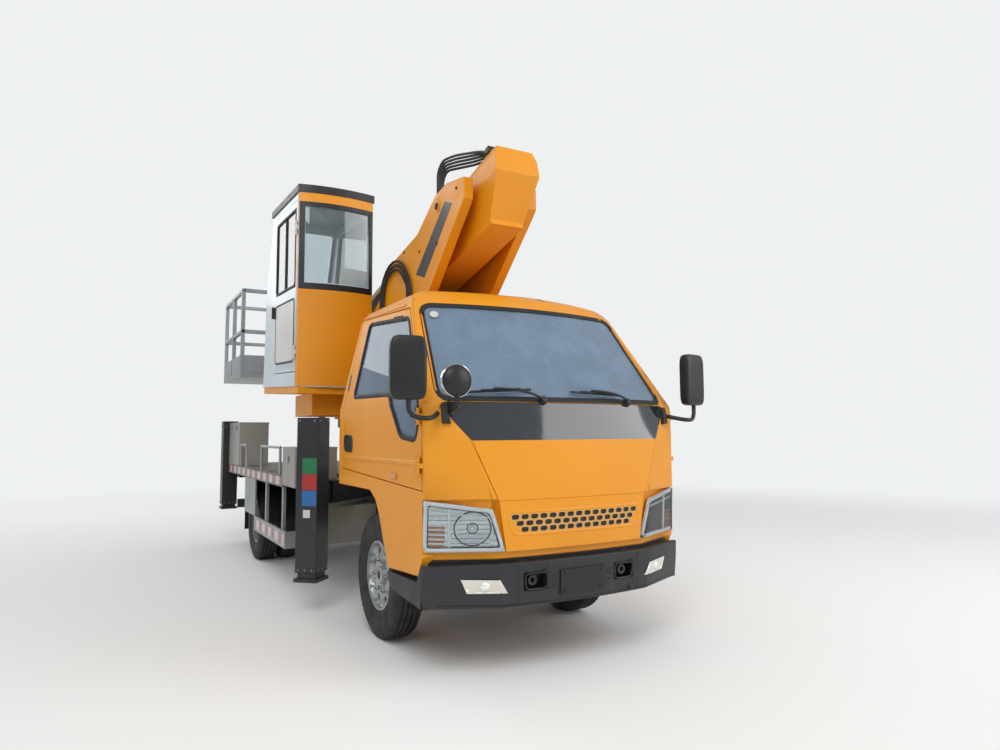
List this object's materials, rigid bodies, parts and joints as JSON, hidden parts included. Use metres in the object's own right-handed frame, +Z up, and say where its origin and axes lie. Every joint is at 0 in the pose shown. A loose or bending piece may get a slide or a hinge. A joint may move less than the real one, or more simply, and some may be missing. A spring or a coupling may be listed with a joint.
{
  "type": "cherry picker truck",
  "caption": "Light cab-over truck with a telescopic boom lift, operator's cabin, work bucket and four outrigger jacks, as an assembly with working joints.",
  "frame": {"origin": "centre of the footprint at ground level", "axes": "+X the vehicle's left, +Y rearward along the vehicle, +Z up; the front faces -Y"},
  "size_m": [2.2146, 5.996, 3.4635],
  "materials": {
    "aluminium": "bare aluminium tube",
    "black_paint": "black paint",
    "black_plastic": "black plastic",
    "clear_glass": "clear glass",
    "dark_gloss": "dark gloss panel",
    "deck_grey": "grey tread plate",
    "frame_grey": "dark grey paint",
    "interior": "grey vinyl and fabric",
    "jack_grey": "near-black paint",
    "lamp": "clear lamp lenses over bright reflectors",
    "machinery": "oily dark iron",
    "rim": "silver-grey paint",
    "rubber": "black hose rubber",
    "steel": "bright steel",
    "tyre": "worn tread rubber",
    "white": "white paint",
    "yellow": "satin yellow-orange paint"
  },
  "bodies": {
    "chassis": {"chassis_frame": "frame_grey", "front_axle": "machinery", "rear_axle": "machinery", "engine_block": "machinery", "fuel_tank": "black_paint", "storage_boxes": "deck_grey", "cab_shell": "yellow", "cab_interior": "interior", "cab_glass": "clear_glass", "front_panel": "yellow", "front_band": "dark_gloss", "bumper": "frame_grey", "headlamps": "lamp", "mirrors": "black_plastic", "deck": "deck_grey", "side_guards": "aluminium", "mudguards": "black_plastic", "outrigger_housings": "frame_grey", "pedestal": "black_paint"},
    "knuckle_right": {"knuckle_right": "machinery"},
    "wheel_front_right": {"tyre_front_right": "tyre", "wheel_front_right": "rim"},
    "wheel_rear_right": {"tyres_rear_right": "tyre", "wheel_rear_right": "rim"},
    "door_right": {"door_right": "yellow", "door_glass_right": "clear_glass"},
    "front_beam_right": {"front_beam_right": "jack_grey"},
    "front_leg_right": {"front_leg_right": "steel"},
    "rear_beam_right": {"rear_beam_right": "jack_grey"},
    "rear_leg_right": {"rear_leg_right": "steel"},
    "knuckle_left": {"knuckle_left": "machinery"},
    "wheel_front_left": {"tyre_front_left": "tyre", "wheel_front_left": "rim"},
    "wheel_rear_left": {"tyres_rear_left": "tyre", "wheel_rear_left": "rim"},
    "door_left": {"door_left": "yellow", "door_glass_left": "clear_glass"},
    "front_beam_left": {"front_beam_left": "jack_grey"},
    "front_leg_left": {"front_leg_left": "steel"},
    "rear_beam_left": {"rear_beam_left": "jack_grey"},
    "rear_leg_left": {"rear_leg_left": "steel"},
    "turntable": {"turntable": "yellow", "operator_cabin": "white", "operator_glass": "clear_glass", "operator_seat": "interior", "column_hoses": "rubber"},
    "operator_door": {"operator_door": "white", "operator_door_glass": "clear_glass"},
    "lift_barrel": {"lift_barrel": "black_paint"},
    "lift_rod": {"lift_rod": "steel"},
    "boom_base": {"boom_base": "yellow", "boom_hoses": "rubber"},
    "boom_stage_2": {"boom_stage_2": "yellow"},
    "boom_stage_3": {"boom_stage_3": "yellow"},
    "boom_tip": {"boom_tip": "yellow"},
    "bucket": {"bucket": "aluminium"}
  },
  "joints": [
    {"name": "steer_right", "type": "hinge", "parent": "chassis", "child": "knuckle_right", "pos_m": [-0.545, -1.8475, 0.39], "axis": [0, 0, 1], "range_deg": [-30, 30]},
    {"name": "spin_front_right", "type": "hinge", "parent": "knuckle_right", "child": "wheel_front_right", "pos_m": [-0.692, -1.8475, 0.39], "axis": [-1, 0, 0], "continuous": true},
    {"name": "spin_rear_right", "type": "hinge", "parent": "chassis", "child": "wheel_rear_right", "pos_m": [-0.713, 1.5125, 0.39], "axis": [-1, 0, 0], "continuous": true},
    {"name": "open_door_right", "type": "hinge", "parent": "chassis", "child": "door_right", "pos_m": [-0.88, -2.7595, 1.25], "axis": [0, 0, 1], "range_deg": [0, 65]},
    {"name": "extend_front_beam_right", "type": "slide", "parent": "chassis", "child": "front_beam_right", "axis": [-0.7071, -0.7071, 0], "range_m": [0, 0.7]},
    {"name": "lower_front_leg_right", "type": "slide", "parent": "front_beam_right", "child": "front_leg_right", "axis": [0, 0, -1], "range_m": [0, 0.23]},
    {"name": "extend_rear_beam_right", "type": "slide", "parent": "chassis", "child": "rear_beam_right", "axis": [-1, 0, 0], "range_m": [0, 0.7]},
    {"name": "lower_rear_leg_right", "type": "slide", "parent": "rear_beam_right", "child": "rear_leg_right", "axis": [0, 0, -1], "range_m": [0, 0.397]},
    {"name": "steer_left", "type": "hinge", "parent": "chassis", "child": "knuckle_left", "pos_m": [0.545, -1.8475, 0.39], "axis": [0, 0, 1], "range_deg": [-30, 30]},
    {"name": "spin_front_left", "type": "hinge", "parent": "knuckle_left", "child": "wheel_front_left", "pos_m": [0.692, -1.8475, 0.39], "axis": [-1, 0, 0], "continuous": true},
    {"name": "spin_rear_left", "type": "hinge", "parent": "chassis", "child": "wheel_rear_left", "pos_m": [0.713, 1.5125, 0.39], "axis": [-1, 0, 0], "continuous": true},
    {"name": "open_door_left", "type": "hinge", "parent": "chassis", "child": "door_left", "pos_m": [0.88, -2.7595, 1.25], "axis": [0, 0, -1], "range_deg": [0, 65]},
    {"name": "extend_front_beam_left", "type": "slide", "parent": "chassis", "child": "front_beam_left", "axis": [0.7071, -0.7071, 0], "range_m": [0, 0.7]},
    {"name": "lower_front_leg_left", "type": "slide", "parent": "front_beam_left", "child": "front_leg_left", "axis": [0, 0, -1], "range_m": [0, 0.23]},
    {"name": "extend_rear_beam_left", "type": "slide", "parent": "chassis", "child": "rear_beam_left", "axis": [1, 0, 0], "range_m": [0, 0.7]},
    {"name": "lower_rear_leg_left", "type": "slide", "parent": "rear_beam_left", "child": "rear_leg_left", "axis": [0, 0, -1], "range_m": [0, 0.397]},
    {"name": "slew", "type": "hinge", "parent": "chassis", "child": "turntable", "pos_m": [0, 0.2025, 1.43], "axis": [0, 0, 1], "range_deg": [-125, 110]},
    {"name": "open_operator_door", "type": "hinge", "parent": "turntable", "child": "operator_door", "pos_m": [-0.962, -0.2795, 2.5], "axis": [0, 0, 1], "range_deg": [0, 75]},
    {"name": "luff", "type": "hinge", "parent": "turntable", "child": "boom_base", "pos_m": [0, -1.6875, 2.92], "axis": [1, 0, 0], "range_deg": [0, 93.5]},
    {"name": "telescope_2", "type": "slide", "parent": "boom_base", "child": "boom_stage_2", "axis": [0, 0.9724, -0.2334], "range_m": [0, 3.6]},
    {"name": "telescope_3", "type": "slide", "parent": "boom_stage_2", "child": "boom_stage_3", "axis": [0, 0.9724, -0.2334], "range_m": [0, 3.6]},
    {"name": "telescope_4", "type": "slide", "parent": "boom_stage_3", "child": "boom_tip", "axis": [0, 0.9724, -0.2334], "range_m": [0, 3.6]},
    {"name": "level_bucket", "type": "hinge", "parent": "boom_tip", "child": "bucket", "pos_m": [-0.26, 2.85775, 1.89049], "axis": [1, 0, 0], "range_deg": [-93.5, 0]},
    {"name": "lift_barrel_turn", "type": "hinge", "parent": "turntable", "child": "lift_barrel", "pos_m": [0, -1.3475, 2.3], "axis": [1, 0, 0], "range_deg": [0, 91.61]},
    {"name": "lift_rod_slide", "type": "slide", "parent": "lift_barrel", "child": "lift_rod", "axis": [0, 0.9811, -0.1934], "range_m": [0, 1.0258]}
  ],
  "couplings": [
    {"joint": "steer_left", "follows": "steer_right", "ratio": 1},
    {"joint": "telescope_3", "follows": "telescope_2", "ratio": 1},
    {"joint": "telescope_4", "follows": "telescope_2", "ratio": 1},
    {"joint": "level_bucket", "follows": "luff", "ratio": -1},
    {"joint": "lift_barrel_turn", "follows": "luff", "ratio": 0.97872},
    {"joint": "lift_rod_slide", "follows": "luff", "m_per_rad": 0.62799}
  ]
}
